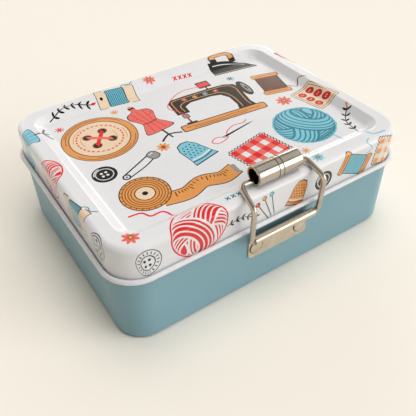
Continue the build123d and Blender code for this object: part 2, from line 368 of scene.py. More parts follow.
class Net:
    """Points and edges of the flat sheet, which the triangles have to keep."""

    def __init__(self):
        self.points = []
        self.edges = []

    def add(self, chain, closed=True):
        """Adds a chain of points, each joined to the next."""
        first, count = len(self.points), len(chain)
        self.points += [tuple(p) for p in chain]
        edges = count if closed else count - 1
        self.edges += [(first + k, first + (k + 1) % count) for k in range(edges)]


def form_lines(net):
    """Lines of the sheet along which it bends, so that every triangle follows the shape."""
    outs = [EDGE_ARC * k / EDGE_STEPS for k in range(EDGE_STEPS + 1)]
    for out in [*outs, EDGE_ARC + SKIRT_LINE, SHEET_REACH]:
        net.add(outline_loop(*[size + out for size in BORDER_EDGE]))
    border_bend = np.linspace(-TOP_REACH, TOP_INTO, BORDER_STEPS)
    panel_bend = np.linspace(SLOPE_RUN - FOOT_INTO, SLOPE_RUN + FOOT_REACH, PANEL_STEPS)
    for into in [*border_bend, *panel_bend]:
        net.add(outline_loop(*[size - into for size in PANEL_EDGE]))
    # Rays across the bends, in the corners
    fans = ((BORDER_EDGE, 0.0, SHEET_REACH), (PANEL_EDGE, -SLOPE_RUN - FOOT_REACH, TOP_REACH))
    for (half_x, half_y, radius), near, far in fans:
        for sx in (-1, 1):
            for sy in (-1, 1):
                middle = np.array([sx * (half_x - radius), sy * (half_y - radius)])
                for angle in np.radians(np.arange(0, 90.1, CORNER_STEP)):
                    way = np.array([sx * math.cos(angle), sy * math.sin(angle)])
                    net.add([middle + way * (radius + near), middle + way * (radius + far)], closed=False)


# ---------------------------------------------------------------- print of the lid

LINE_WEIGHT = 1.25  # all strokes of the drawing are this much bolder than their motifs say
LEAST_LEAN = 0.5  # keeps the mitre of a sharp turn short

INKS = {
    "white": WHITE,
    "black": linear("120c0a"),
    "brown": linear("7a4526"),
    "red": linear("e0151b"),
    "coral": linear("e96a60"),
    "teal": linear("7cc5d9"),
    "pale": linear("b9dde4"),
    "deep": linear("2f7f93"),
    "tan": linear("e39a51"),
    "beige": linear("ecd3b6"),
    "grey": linear("9b9490"),
}


def smooth(points, closed, step=0.9):
    """A curve through points, as short straight pieces."""
    points = np.array(points, float)
    count = len(points)
    if closed:
        padded = np.vstack([points[-1], points, points[:2]])
    else:
        padded = np.vstack([2 * points[0] - points[1], points, 2 * points[-1] - points[-2]])
    made = []
    for k in range(count if closed else count - 1):
        a, b, c, d = padded[k : k + 4]
        parts = max(2, math.ceil(np.linalg.norm(c - b) / step))
        for t in np.arange(parts) / parts:
            bend, twist = 2 * a - 5 * b + 4 * c - d, 3 * b - a - 3 * c + d
            made.append(0.5 * (2 * b + (c - a) * t + bend * t**2 + twist * t**3))
    if not closed:
        made.append(points[-1])
    return np.array(made)


class Pen:
    """Draws one motif on the flat sheet, in millimetres about the motif's own middle."""

    def __init__(self, shapes, x, y, turn=0.0, size=1.0):
        self.shapes = shapes
        self.origin = np.array([x, y], float)
        c, s = math.cos(math.radians(turn)), math.sin(math.radians(turn))
        self.frame = size * np.array([[c, s], [-s, c]])

    def fill(self, ink, points):
        """An area inside straight lines from point to point."""
        self.shapes.append((np.array(points, float) @ self.frame + self.origin, INKS[ink]))

    def blob(self, ink, points):
        """An area inside a closed curve through points."""
        self.fill(ink, smooth(points, True))

    def disc(self, ink, x, y, radius, tall=None):
        """A disc, or an oval where tall gives its other radius."""
        tall = tall or radius
        count = max(10, round(14 * math.sqrt(max(radius, tall))))
        angles = np.arange(count) * 2 * math.pi / count
        self.fill(ink, np.column_stack([x + radius * np.cos(angles), y + tall * np.sin(angles)]))

    def box(self, ink, x, y, width, height, radius=0.0):
        """A rectangle about x, y, with rounded corners where a radius is given."""
        w, h = width / 2, height / 2
        if radius:
            self.fill(ink, outline_loop(w, h, radius, 30.0, 22.5) + (x, y))
        else:
            self.fill(ink, [(x - w, y - h), (x + w, y - h), (x + w, y + h), (x - w, y + h)])

    def line(self, ink, width, points, closed=False, curved=True):
        """A stroke along points, curved through them or straight from one to the next."""
        path = smooth(points, closed) if curved else np.array(points, float)
        ahead = np.roll(path, -1, axis=0) - path
        behind = path - np.roll(path, 1, axis=0)
        if not closed:
            ahead[-1], behind[0] = behind[-1], ahead[0]
        unit = [v / np.maximum(np.linalg.norm(v, axis=1), TINY)[:, None] for v in (ahead, behind)]
        side = unit[0] + unit[1]
        side /= np.maximum(np.linalg.norm(side, axis=1), TINY)[:, None]
        side = np.column_stack([-side[:, 1], side[:, 0]])
        lean = (side * np.column_stack([-unit[0][:, 1], unit[0][:, 0]])).sum(axis=1)
        side *= (LINE_WEIGHT * width / 2 / np.clip(lean, LEAST_LEAN, 1))[:, None]
        if closed:
            left, right = path + side, path - side
            self.fill(ink, np.vstack([left, left[:1], right[:1], right[:0:-1], right[:1]]))
        else:
            self.fill(ink, np.vstack([path + side, (path - side)[::-1]]))


def around(radius, count=24, start=0.0, sweep=360.0):
    """Points on an arc, or on a whole circle."""
    parts = count if sweep == 360 else count - 1
    angles = np.radians(start + sweep * np.arange(count) / parts)
    return radius * np.column_stack([np.cos(angles), np.sin(angles)])


def four_holes(pen, ink, spread, radius):
    """The holes of a button."""
    for y in (spread, -spread):
        for x in (spread, -spread):
            pen.disc(ink, x, y, radius)


def round_button(pen, ink, radius):
    """A plain button with a raised rim."""
    pen.disc("black", 0, 0, radius + 0.5)
    pen.disc(ink, 0, 0, radius)
    pen.line("white", 0.45, around(radius * 0.74, 14), True)
    pen.line("white", 0.6, around(radius * 0.88, 6, 100, 70))
    four_holes(pen, "white", radius * 0.2, radius * 0.13)


def line_button(pen, radius):
    """A button drawn in black lines, with a ring of short strokes."""
    pen.disc("black", 0, 0, radius + 0.5)
    pen.disc("white", 0, 0, radius)
    pen.line("black", 0.5, around(radius * 0.6, 12), True)
    for angle in range(0, 360, 20):
        ends = [around(radius * share, 1, angle)[0] for share in (0.7, 0.9)]
        pen.line("black", 0.55, ends, curved=False)
    four_holes(pen, "black", radius * 0.22, radius * 0.12)


def big_button(pen, radius=26.0):
    """A wooden button sewn on with red thread."""
    pen.disc("brown", 0, 0, radius + 0.7)
    pen.disc("tan", 0, 0, radius)
    for share, start, sweep in ((0.95, 20, 120), (0.9, 60, 100), (0.95, 200, 130), (0.89, 230, 70)):
        pen.line("brown", 0.4, around(radius * share, 12, start, sweep))
    pen.disc("brown", 0, 0, radius * 0.83)
    pen.disc("beige", 0, 0, radius * 0.8)
    for share, start, sweep in ((0.7, 100, 60), (0.46, 300, 70), (0.72, 320, 40), (0.5, 130, 60)):
        pen.line("tan", 0.5, around(radius * share, 9, start, sweep))
    reach = radius * 0.24
    for x in (-reach, reach):
        for y in (-reach, reach):
            pen.disc("brown", x, y, radius * 0.13)
            pen.disc("black", x, y, radius * 0.1)
    for ink, side in (("red", 1), ("coral", -1)):
        for k in range(4):
            shift = (k - 1.5) * 0.95
            ends = [(-reach, side * (shift - reach)), (reach, side * (shift + reach))]
            pen.line(ink, 0.7, ends, curved=False)
    for angle in range(0, 360, 12):
        pen.line("red", 0.9, around(radius * 0.62, 2, angle, 7), curved=False)


def parallel(radius, angle, tilt, share, count=14):
    """The visible part of one strand round a ball, at a share of the ball's radius from its middle."""
    tilt, angle = math.radians(tilt), math.radians(angle)
    ring = math.sqrt(1 - share * share)
    start = math.asin(max(-1.0, min(1.0, -share * math.tan(tilt) / ring)))
    t = np.linspace(start, math.pi - start, count)
    u = ring * np.cos(t)
    v = share * math.cos(tilt) - ring * np.sin(t) * math.sin(tilt)
    c, s = math.cos(angle), math.sin(angle)
    return radius * np.column_stack([u * c - v * s, u * s + v * c])


# Windings of a ball: their turn, their tilt towards the eye, and from where to where they reach
WINDINGS = ((-35, 22, -0.95, 0.96), (38, 30, -0.5, 0.56), (100, 26, 0.12, 0.9), (-20, 34, 0.3, 0.93))


def yarn_ball(pen, ink, strand, radius, step=0.13):
    """A ball of yarn, wound in four directions, with a loose end."""
    tail = [(0.75, -0.62), (1.2, -1.02), (1.6, -0.85), (1.9, -1.0), (2.3, -0.85)]
    pen.line(ink, 0.9, [(radius * x, radius * y) for x, y in tail])
    pen.disc(strand if strand != "white" else ink, 0, 0, radius + 0.3)
    pen.disc(ink, 0, 0, radius)
    width = radius * 0.042
    for angle, tilt, low, high in WINDINGS:
        edges = [parallel(radius, angle, tilt, share) for share in np.arange(low, high, step)]
        first, *between, last = edges
        ends = [e[-1] for e in between], [e[0] for e in between[::-1]]
        pen.fill(ink, np.vstack([first, ends[0], last[::-1], ends[1]]))
        for k, edge in enumerate(edges):
            pen.line(strand, width * (1.5 if k in (0, len(edges) - 1) else 1.0), edge)
    pen.line(ink, 0.7, around(radius, 24), True)


def spool(pen, ink, shade, width, height):
    """A wooden spool of thread."""
    w, h = width / 2, height / 2
    tail = [(0.8, -0.4), (1.5, -0.75), (1.9, -0.3), (2.4, -0.5)]
    pen.line(ink, 0.6, [(w * x, h * y) for x, y in tail])
    pen.box("black", 0, 0, width * 0.9, height * 0.7)
    pen.box(ink, 0, 0, width * 0.84, height * 0.7)
    rows = round(height * 0.7 / 1.5)
    for k in range(rows):
        y = (k + 0.5) / rows * height * 0.7 - height * 0.35
        pen.line(shade, 0.45, [(-w * 0.84, y - 0.45), (w * 0.84, y + 0.45)], curved=False)
    for side in (-1, 1):
        y = side * h * 0.84
        pen.box("black", 0, y, width + 0.9, height * 0.16 + 0.9, 1.5)
        pen.box("tan", 0, y, width, height * 0.16, 1.2)
        pen.line("brown", 0.4, [(-w * 0.75, y), (w * 0.2, y + 0.2), (w * 0.75, y)])


def thread_card(pen, ink, shade):
    """Thread wound on a notched card."""
    right = [(9, -15), (9, -9), (7, -8), (7, 8), (9, 9), (9, 15)]
    shape = [(-9, -15), *right, *[(-x, y) for x, y in right[:0:-1]]]
    pen.fill("black", np.array(shape) * (1.06, 1.035))
    pen.fill("beige", shape)
    pen.box("black", 0, 0, 17.0, 15.0, 1.4)
    pen.box(ink, 0, 0, 16.0, 14.0, 1.2)
    for k in range(9):
        y = -6 + k * 1.5
        pen.line(shade, 0.45, [(-7.6, y - 0.5), (7.6, y + 0.5)], curved=False)
    pen.disc("black", 0, 11.8, 1.2)
    pen.line(ink, 0.6, [(7.5, -5), (11, -9), (10, -13), (13, -17)])


def thimble(pen, ink):
    """A thimble with rows of dimples."""
    shape = [(-7.4, -9), (7.4, -9), (6.4, -5), (5.4, 4), (3.4, 8), (0, 9), (-3.4, 8), (-5.4, 4), (-6.4, -5)]
    pen.fill("black", np.array(shape) * 1.08)
    pen.fill(ink, shape)
    pen.line("black", 0.5, [(-6.7, -6.4), (0, -7.2), (6.7, -6.4)])
    pen.line("white", 0.7, [(-6.4, -4.9), (0, -5.7), (6.4, -4.9)])
    for row in range(5):
        odd = row % 2
        for k in range(-2 + odd, 3):
            x = (k - 0.5 * odd) * 2.3
            if abs(x) < 5.4 - row * 0.4:
                pen.disc("black", x, -2.9 + row * 2.1, 0.5)


def safety_pin(pen):
    """A closed safety pin."""
    h = 14.0
    pen.line("black", 0.8, [(-h, 2.0), (h - 5, 2.8)], curved=False)
    pen.line("black", 0.7, [(-h, -2.0), (0, -2.9), (h - 5, -2.2)])
    pen.disc("black", -h, 0, 2.6)
    pen.disc("white", -h, 0, 1.6)
    pen.disc("black", -h, 0, 0.7)
    pen.box("black", h - 3, 0, 7.4, 8.4, 3.0)
    pen.box("grey", h - 3, 0, 6.2, 7.2, 2.4)
    pen.line("white", 0.6, [(h - 5.0, 2.0), (h - 1.4, 2.0)], curved=False)


def needle(pen, ink, long):
    """A needle with a looping thread."""
    h = long / 2
    loops = [(-0.9, 0), (-1.25, 0.2), (-1.6, 0.05), (-1.4, -0.2), (-0.85, -0.16)]
    loops += [(-0.55, 0.2), (0, 0.36), (0.5, 0.22), (0.8, 0.3)]
    pen.line(ink, 0.55, [(h * x, h * y) for x, y in loops])
    lower = [(-h, -0.4), (-h + 1.2, -0.9), (h * 0.6, -0.5)]
    pen.fill("black", [*lower, (h, 0), *[(x, -y) for x, y in lower[::-1]]])
    pen.box("white", -h * 0.9, 0, 2.2, 0.5)


def pin_row(pen, inks, gap=4.6):
    """Ball pins side by side, spread like a fan."""
    for k, ink in enumerate(inks):
        x = (k - (len(inks) - 1) / 2) * gap
        top = 9 - abs(x) * 0.25
        pen.line("black", 0.5, [(x * 0.55, -9), (x * 1.2, top)], curved=False)
        pen.disc("black", x * 1.2, top, 1.8)
        pen.disc(ink, x * 1.2, top, 1.4)
        pen.disc("white", x * 1.2 - 0.4, top + 0.4, 0.4)


def bobbin(pen, radius):
    """A metal bobbin seen from its end."""
    pen.disc("black", 0, 0, radius + 0.5)
    pen.disc("white", 0, 0, radius)
    pen.line("black", 0.45, around(radius * 0.86, 14), True)
    for x, y in around(radius * 0.58, 7):
        pen.disc("black", x, y, radius * 0.16)
    pen.disc("black", 0, 0, radius * 0.26)
    pen.disc("white", 0, 0, radius * 0.15)


def leaf(pen, ink, x, y, angle, long, wide):
    """One pointed leaf or petal, from its foot at x, y."""
    c, s = math.cos(angle), math.sin(angle)
    shape = [(0, 0), (0.3, 0.8), (0.65, 0.75), (1, 0), (0.65, -0.75), (0.3, -0.8)]
    pen.blob(ink, [(x + long * u * c - wide * v * s, y + long * u * s + wide * v * c) for u, v in shape])


def sprig(pen, ink, long, bend, pairs, berry=None):
    """A stem with pairs of leaves, and a bud at its end."""
    points = [(-long / 2, 0), (0, bend), (long / 2, 0)]
    stem = smooth(points, False, 1.0)
    pen.line(ink, 0.5, points)
    for k in range(pairs):
        t = (k + 0.8) / (pairs + 0.3)
        i = min(len(stem) - 2, int(t * (len(stem) - 1)))
        way = math.atan2(*(stem[i + 1] - stem[i])[::-1])
        for side in (1, -1):
            leaf(pen, ink, *stem[i], way + side * 0.85, 3.9, 0.85)
    leaf(pen, berry or ink, *stem[-1], 0, 3.9, 0.95)


def flower(pen, ink, middle, radius, petals=8):
    """A plain daisy."""
    foot = radius * 0.2
    for k in range(petals):
        a = k * 2 * math.pi / petals
        leaf(pen, ink, foot * math.cos(a), foot * math.sin(a), a, radius * 0.8, radius * 0.24)
    pen.disc("black", 0, 0, radius * 0.3)
    pen.disc(middle, 0, 0, radius * 0.22)


def pinked(width, height, tooth=1.2):
    """The edge of a cloth sample, cut with pinking shears."""
    w, h = width / 2, height / 2
    corners = [(-w, -h), (w, -h), (w, h), (-w, h)]
    edge = []
    for start, end in zip(corners, corners[1:] + corners[:1]):
        start, end = np.array(start), np.array(end)
        count = round(float(np.linalg.norm(end - start)) / (2 * tooth))
        along = (end - start) / count
        out = np.array([along[1], -along[0]]) / np.linalg.norm(along) * tooth
        for k in range(count):
            edge += [start + along * k, start + along * (k + 0.5) + out]
    return np.array(edge)


CHECK = 3.6
CHECK_MARGIN = 0.3  # white left between the checks and the edge


def checked_swatch(pen, ink, pale, width, height):
    """A checked cloth sample: pale where one band crosses, full ink where two do."""
    edge = pinked(width, height)
    pen.fill("white", edge)
    pen.line("black", 0.5, edge, True, False)
    across, up = [round(size / CHECK) // 2 * 2 - 1 for size in (width, height)]
    width, height = width - 2 * CHECK_MARGIN, height - 2 * CHECK_MARGIN
    step_x, step_y = width / across, height / up
    columns = [(k - (across - 1) / 2) * step_x for k in range(0, across, 2)]
    rows = [(k - (up - 1) / 2) * step_y for k in range(0, up, 2)]
    for x in columns:
        pen.box(pale, x, 0, step_x, height)
    for y in rows:
        pen.box(pale, 0, y, width, step_y)
    for x in columns:
        for y in rows:
            pen.box(ink, x, y, step_x, step_y)


def dotted_swatch(pen, ink, width, height):
    """A cloth sample with white dots in staggered columns."""
    edge = pinked(width, height)
    pen.fill(ink, edge)
    pen.line("black", 0.5, edge, True, False)
    w, h, margin, gap = width / 2, height / 2, 2.6, 3.9
    for i, x in enumerate(np.arange(-w + margin, w - 1.5, gap)):
        for y in np.arange(-h + margin + gap / 2 * (i % 2), h - 1.5, gap):
            pen.disc("white", x, y, 0.85)


def tape_measure(pen):
    """A rolled tape with its end out: plain marks, no figures."""
    middle = [(6, -10.0), (20, -11.5), (32, -7), (44, -9.5), (54, -6)]
    pen.line("black", 9.0, [*middle[:-1], (54.5, -5.9)])
    pen.line("tan", 8.0, middle)
    path = smooth(middle, False, 0.25)
    along = np.concatenate([[0], np.cumsum(np.linalg.norm(np.diff(path, axis=0), axis=1))])
    for k, distance in enumerate(np.arange(8, along[-1] - 2.5, 2.2)):
        i = int(np.searchsorted(along, distance))
        way = path[i + 1] - path[i - 1]
        up = np.array([-way[1], way[0]]) / np.linalg.norm(way)
        mark = 4.2 if k % 5 == 0 else 2.2
        pen.line("black", 0.45, [path[i] + up * 3.9, path[i] + up * (3.9 - mark)], curved=False)
    pen.box("grey", 54, -6.1, 3.0, 8.4, 0.6)
    pen.disc("black", 0, 0, 14.6)
    pen.disc("tan", 0, 0, 14.0)
    for radius in (12.6, 11.0, 9.4, 7.8):
        pen.line("brown", 0.45, around(radius, 18), True)
    for angle in range(0, 360, 15):
        ends = [around(radius, 1, angle)[0] for radius in (13.9, 12.9)]
        pen.line("black", 0.4, ends, curved=False)
    pen.disc("black", 0, 0, 6.0)
    pen.disc("beige", 0, 0, 5.4)
    pen.disc("black", 0, 0, 1.7)


def sewing_machine(pen):
    """An old hand sewing machine on a wooden base."""
    pen.box("black", 0, -15, 54, 6.6, 1.6)
    pen.box("tan", 0, -15, 52.6, 5.2, 1.2)
    pen.line("brown", 0.4, [(-24, -14.4), (-8, -15.2), (6, -14.4), (23, -15.2)])
    pen.line("brown", 0.4, [(-20, -16.2), (-4, -16.6), (14, -16.0)])
    outer = [(11, -12), (22.5, -12), (21.5, -7), (22.5, 2), (24, 9), (22.4, 14.4), (17, 17), (8, 17.4)]
    outer += [(-12, 16.6), (-19, 16), (-22.5, 12.5), (-22.8, -1)]
    inner = [(-15, -1), (-14.6, 5.6), (-10, 8.2), (4, 8.4), (9.4, 7), (12.4, 2), (12.6, -7)]
    pen.fill("black", outer + inner)
    outer_trim = [(-20.6, 0.6), (-20.4, 12), (-17.6, 14.4), (-8, 15), (8, 15.6), (17, 15), (21, 10.4)]
    pen.line("tan", 0.45, [*outer_trim, (20.2, 2), (19.4, -6), (19.8, -10.6)])
    inner_trim = [(-17.2, 0.8), (-17, 7.4), (-11, 10.4), (4, 10.6), (11, 9.4), (14.6, 3)]
    pen.line("tan", 0.45, [*inner_trim, (14.8, -6), (14.4, -10.6)])
    for x, ink in ((-12, "coral"), (-5, "tan"), (2, "teal"), (9, "coral")):
        small = Pen(pen.shapes, *(pen.origin + np.array([x, 12.8]) @ pen.frame))
        flower(small, ink, "white", 2.3, 6)
    pen.line("black", 0.9, [(-19, 0), (-19, -10.5)], curved=False)
    pen.box("black", -19, -3.6, 4.0, 4.4, 0.8)
    pen.box("grey", -19, -3.6, 3.0, 3.4, 0.6)
    pen.line("black", 1.2, [(-22, -11.2), (-15.6, -11.2)], curved=False)
    pen.disc("black", 26, 7, 3.4, 9.0)
    pen.disc("grey", 27, 7, 1.5, 6.4)
    pen.disc("black", 27, 7, 0.6, 2.2)
    pen.box("black", 6, 19.2, 1.0, 4)
    pen.box("black", 6, 23.2, 8.4, 7.4, 0.8)
    pen.box("red", 6, 23.2, 7.2, 5.0)
    for k in range(4):
        pen.line("coral", 0.35, [(2.5, 21.3 + k * 1.2), (9.5, 21.8 + k * 1.2)], curved=False)
    pen.line("red", 0.45, [(2.4, 22), (-8, 22.5), (-17, 18), (-24.2, 9), (-19.2, 0), (-19, -9)])


def dress_form(pen, ink, shade):
    """A tailor's dummy on its stand."""
    right = [(2, 20), (2.4, 16.5), (7.5, 14), (9, 9), (7, 4), (5.6, -1), (8.4, -7), (9, -13)]
    body = [(-2, 20), *right, *[(-x, y) for x, y in right[:0:-1]]]
    pen.blob("black", np.array(body) * (1.07, 1.04))
    pen.blob(ink, body)
    for side in (-1, 1):
        pen.line(shade, 0.45, [(side * 4.6, 14.4), (side * 3.7, 6), (side * 3.1, -1), (side * 4.8, -12.3)])
        pen.line(shade, 0.45, [(side * 8.2, 9.6), (side * 5.6, 7.4), (side * 3.8, 8.2)])
    pen.line(shade, 0.45, [(0, 16.5), (0, -12.6)], curved=False)
    pen.line("black", 0.6, [(-5.6, -0.4), (0, -1.4), (5.6, -0.4)])
    pen.box("black", 0, 21.4, 4.8, 2.4, 0.9)
    pen.box("tan", 0, 23.4, 2.4, 2.4, 0.9)
    pen.box("black", 0, -17, 1.4, 7.6)
    pen.line("black", 1.1, [(-8, -24.5), (-4, -22), (0, -20.6), (4, -22), (8, -24.5)])
    pen.line("black", 1.0, [(0, -20.6), (0, -25)], curved=False)


def flat_iron(pen):
    """An old flat iron."""
    pen.line("black", 4.6, [(-10, 3), (-10.5, 10), (-5, 13), (4, 12), (6, 4)])
    pen.line("tan", 3.2, [(-10.3, 8), (-9.4, 11), (-5, 13), (4, 12), (5.6, 7)])
    crown = smooth([(-16, 5), (-4, 5.4), (6, 4), (14, -0.5), (20, -7)], False)
    pen.fill("black", [*crown, (21, -9), (-16, -9)])
    pen.line("grey", 0.9, [(-15.4, -7.4), (19, -7.4)], curved=False)
    pen.line("white", 0.5, [(-13, 2.6), (-3, 3), (6, 1.6), (13, -2.6)])


def button_card(pen, ink):
    """Six buttons sewn on a card."""
    pen.box("black", 0, 0, 25, 33, 1.8)
    pen.box("beige", 0, 0, 24, 32, 1.4)
    pen.line("brown", 0.4, [(-10, -14), (10, -14), (10, 14), (-10, 14)], True, False)
    for x in (-4.8, 4.8):
        for y in (-8.6, 0, 8.6):
            pen.disc("black", x, y, 3.5)
            pen.disc(ink, x, y, 3.0)
            for side in (-0.9, 0.9):
                pen.disc("white", x + side, y, 0.5)


def zip_fastener(pen, ink, long):
    """A zip with its slider."""
    pen.box("black", 0, 0, long + 1, 10.0)
    pen.box(ink, 0, 0, long, 9.0)
    for y in (-3.4, 3.4):
        pen.line("white", 0.4, [(-long / 2, y), (long / 2, y)], curved=False)
    pen.box("white", 0, 0, long, 3.0)
    for k in range(round(long / 1.7)):
        pen.box("black", -long / 2 + 0.8 + k * 1.7, 0.45 if k % 2 else -0.45, 0.8, 1.9)
    slider = long * 0.2
    pen.box("black", slider, 0, 5.6, 5.8, 1.6)
    pen.box("grey", slider, 0, 4.2, 4.4, 1.2)
    pen.disc("black", slider + 6.4, 0, 4.0, 2.2)
    pen.disc("white", slider + 7.2, 0, 2.0, 0.9)


def crosses(pen, ink, count, gap=4.0, size=1.3):
    """A row of cross stitches."""
    for k in range(count):
        x = (k - (count - 1) / 2) * gap
        for y in (size, -size):
            pen.line(ink, 0.7, [(x - size, -y), (x + size, y)], curved=False)


def star(pen, ink, radius, threads=4):
    """A stitched star of straight threads."""
    for k in range(threads):
        x, y = around(radius, 1, k * 180 / threads)[0]
        pen.line(ink, 0.6, [(x, y), (-x, -y)], curved=False)


def draw_print():
    """All motifs on the flat sheet: their outlines and inks, lower ones first."""
    shapes = []
    for draw, x, y, turn, size, *facts in LAYOUT:
        draw(Pen(shapes, x, y, turn, size), *facts)
    return shapes


# What draws each motif, its middle, its turn in degrees, its size, and its own facts
LAYOUT = [
    # upper face
    (sewing_machine, 20, 20, -5, 1.16),
    (big_button, -59.6, 27, 10, 0.9),
    (yarn_ball, 54, -34, -30, 1, "teal", "deep", 20),
    (dress_form, -25, 26, 8, 0.98, "coral", "red"),
    (tape_measure, -62, -36, -4, 1.0),
    (checked_swatch, 14, -42, 12, 1, "red", "coral", 30, 26),
    (spool, 70, 20, -14, 1, "brown", "black", 20, 28),
    (thimble, -19, -18, 14, 1.2, "teal"),
    (safety_pin, -51, -12, 24, 1.0),
    (flat_iron, 60, 58, -8, 0.95),
    (button_card, 82, -12, 12, 0.8, "red"),
    (needle, 17, -14, 10, 1, "red", 28),
    (round_button, -73, -8, 0, 1, "black", 7),
    (star, -39, 49, 0, 1, "tan", 3),
    (flower, -2, 68, 0, 1, "coral", "tan", 5),
    (thread_card, -30, 63, 82, 0.9, "deep", "teal"),
    (sprig, -64, 62, 4, 1, "black", 30, 5, 6, "red"),
    (sprig, 82, -48, 62, 1, "black", 26, 4, 5, "tan"),
    (crosses, -25, -69.3, 0, 0.9, "deep", 4),
    (flower, 62, -4, 0, 1, "coral", "tan", 6),
    (flower, -32, -4, 0, 1, "tan", "red", 4.6),
    (flower, 33, -69, 0, 1, "teal", "tan", 4),
    (star, -77, 50, 0, 1, "red", 3),
    (star, 50, 42, 0, 1, "deep", 3),
    (star, 36, -56, 0, 1, "tan", 3),
    (crosses, 22, 62, -4, 1, "red", 4),
    (flower, -86, -66, 0, 1, "coral", "tan", 5),
    # front skirt
    (yarn_ball, -52, -80, 150, 1, "red", "white", 17),
    (line_button, -84, -86, 0, 1, 8.5),
    (spool, 58, -86, 66, 1, "teal", "deep", 15, 24),
    (round_button, 33, -87, 0, 1, "black", 6),
    (thimble, 14, -87, -20, 0.9, "tan"),
    (pin_row, -8, -87, 20, 0.9, ["red", "tan", "teal"]),
    (sprig, -26, -88, -8, 0.8, "black", 24, 3, 5),
    (checked_swatch, 86, -86, -10, 0.9, "tan", "beige", 24, 20),
    # back skirt
    (zip_fastener, 70, 86, 4, 1, "red", 40),
    (checked_swatch, 8, 87, -6, 0.9, "teal", "pale", 26, 20),
    (bobbin, 34, 87, 0, 1, 7),
    (safety_pin, -22, 88, 8, 0.9),
    (round_button, -46, 86, 0, 1, "coral", 7),
    (spool, -72, 87, 70, 1, "red", "coral", 15, 24),
    # left skirt
    (dress_form, -104, 46, 96, 0.8, "teal", "deep"),
    (yarn_ball, -104, 8, 250, 1, "red", "white", 12),
    (thread_card, -105, -28, 12, 0.85, "deep", "teal"),
    (bobbin, -106, -56, 0, 1, 7.5),
    # right skirt
    (dotted_swatch, 108, 38, 6, 0.9, "red", 24, 26),
    (round_button, 108, 14, 0, 1, "black", 6.5),
    (needle, 109, -8, 84, 0.9, "deep", 24),
    (spool, 108, -40, 8, 0.9, "tan", "brown", 16, 24),
    (bobbin, 108, 62, 0, 1, 7),
]


# ---------------------------------------------------------------- lid


def inside(points, polygon):
    """Which points lie in a polygon, also where it crosses itself."""
    a = polygon
    b = np.roll(polygon, -1, axis=0)
    x, y = points[:, :1], points[:, 1:]
    cross = (b[:, 0] - a[:, 0]) * (y - a[:, 1]) - (x - a[:, 0]) * (b[:, 1] - a[:, 1])
    up = (a[:, 1] <= y) & (b[:, 1] > y) & (cross > 0)
    down = (a[:, 1] > y) & (b[:, 1] <= y) & (cross < 0)
    return (up.sum(axis=1) - down.sum(axis=1)) != 0


def paint(centres, shapes):
    """The ink of each triangle: that of the last shape over its middle."""
    inks = np.tile(np.array(WHITE), (len(centres), 1))
    for polygon, ink in shapes:
        low, high = polygon.min(axis=0), polygon.max(axis=0)
        near = np.flatnonzero(((centres > low) & (centres < high)).all(axis=1))
        if len(near):
            inks[near[inside(centres[near], polygon)]] = ink
    return inks


def rim_loop(flat):
    """Indices of the sheet's outermost points, in order round it."""
    out, _ = from_outline(flat, *BORDER_EDGE)
    rim = np.flatnonzero(out > SHEET_REACH - RIM_TOLERANCE)
    return rim[np.argsort(np.arctan2(flat[rim, 1], flat[rim, 0]))]


def printed_sheet():
    """The flat sheet as triangles that follow its bends and the print, and each triangle's ink."""
    net = Net()
    form_lines(net)
    shapes = draw_print()
    for polygon, _ in shapes:
        net.add(polygon)
    found = delaunay_2d_cdt([Vector(p) for p in net.points], net.edges, [], 0, MERGE)
    flat = np.array([tuple(v) for v in found[0]])
    triangles = np.array([tuple(f) for f in found[2]])
    out, way = from_outline(flat, *BORDER_EDGE)
    flat -= way * np.clip(out - SHEET_REACH, 0, None)[:, None]
    return flat, triangles, paint(flat[triangles].mean(axis=1), shapes)


def inner_rings(rim):
    """Rings of the inside: round the hem's edge, up the skirt, over the edge and down into the panel."""
    _, way = from_outline(rim, *BORDER_EDGE)
    rings = []
    for inset, rise in ((HEM_INSET, 0.0), (HEM_INSET, HEM_HEIGHT), (SHEET, HEM_HEIGHT)):
        rings.append(form_sheet(rim - way * rise, inset))
    for k in range(INSIDE_EDGE_STEPS, -1, -1):
        rings.append(form_sheet(rim - way * (SHEET_REACH - EDGE_ARC * k / INSIDE_EDGE_STEPS), SHEET))
    base = rim - way * SHEET_REACH
    bends = (-TOP_REACH, 0, TOP_INTO, SLOPE_RUN - FOOT_INTO, SLOPE_RUN, SLOPE_RUN + FOOT_REACH)
    for bend in bends:
        into = BORDER - EDGE_RADIUS + bend
        shrink = [(half - into) / half for half in BORDER_EDGE[:2]]
        rings.append(form_sheet(base * shrink, SHEET))
    return rings


